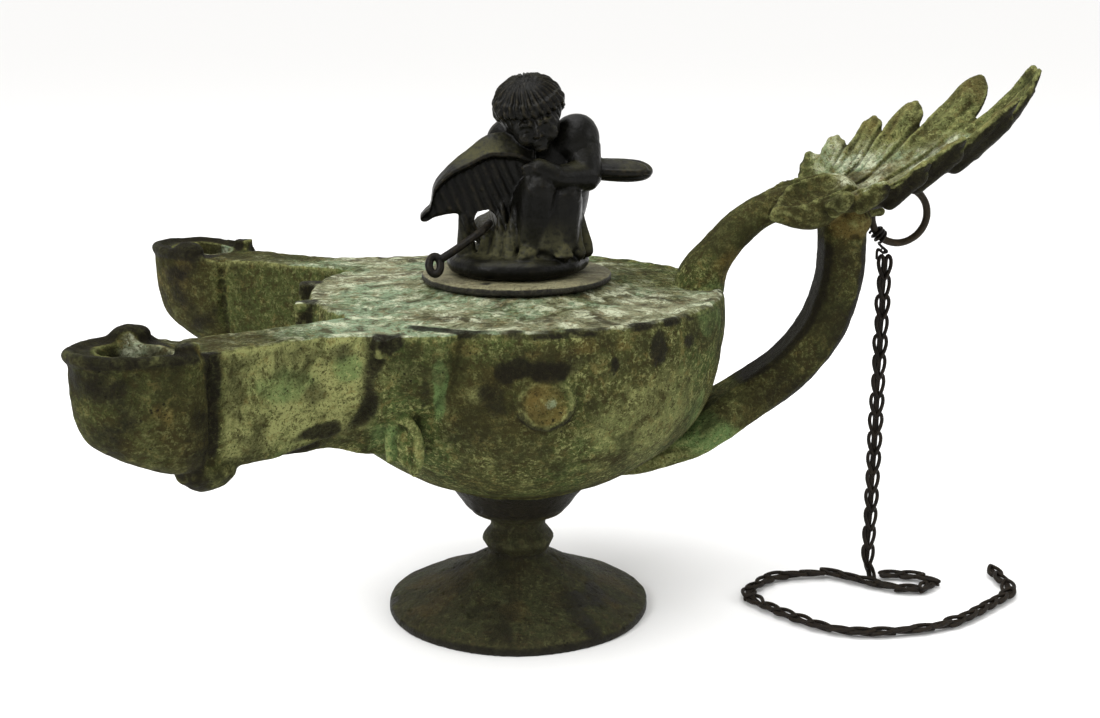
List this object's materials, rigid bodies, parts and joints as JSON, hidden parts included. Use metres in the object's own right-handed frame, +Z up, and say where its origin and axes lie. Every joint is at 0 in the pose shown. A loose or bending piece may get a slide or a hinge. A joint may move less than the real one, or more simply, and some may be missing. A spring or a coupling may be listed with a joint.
{
  "type": "oil lamp",
  "caption": "Footed bronze oil lamp with paired nozzles, a loop handle with a palmette leaf, a lift-off lid with a crouching winged child, and a hanging chain.",
  "frame": {"origin": "centre of the flat stem end under the foot, on the foot's axis, at table level", "axes": "+Z up along the foot's axis, +X towards the handle and leaf, the nozzles point to -X at 31 degrees to either side"},
  "size_m": [0.2463, 0.162, 0.1482],
  "materials": {
    "green_patina": "rough green and ochre patina on cast bronze, pale mint crust on the deck",
    "foot_patina": "dark brown-green patina on cast bronze",
    "lid_bronze": "dusty brown bronze with a dark rim",
    "black_bronze": "near-black bronze, slightly glossy, olive dust in the hollows",
    "wire": "black-brown wire",
    "ring": "dark brown ring",
    "tie": "black-brown thin wire",
    "chain": "black-brown wire links"
  },
  "bodies": {
    "root": {"lamp_body": "green_patina", "handle": "green_patina", "pedestal_foot": "foot_patina", "lid": "lid_bronze", "cupid_figure": "black_bronze", "wing_wire": "wire", "hanging_ring": "ring", "ring_tie": "tie", "chain": "chain"}
  },
  "joints": []
}
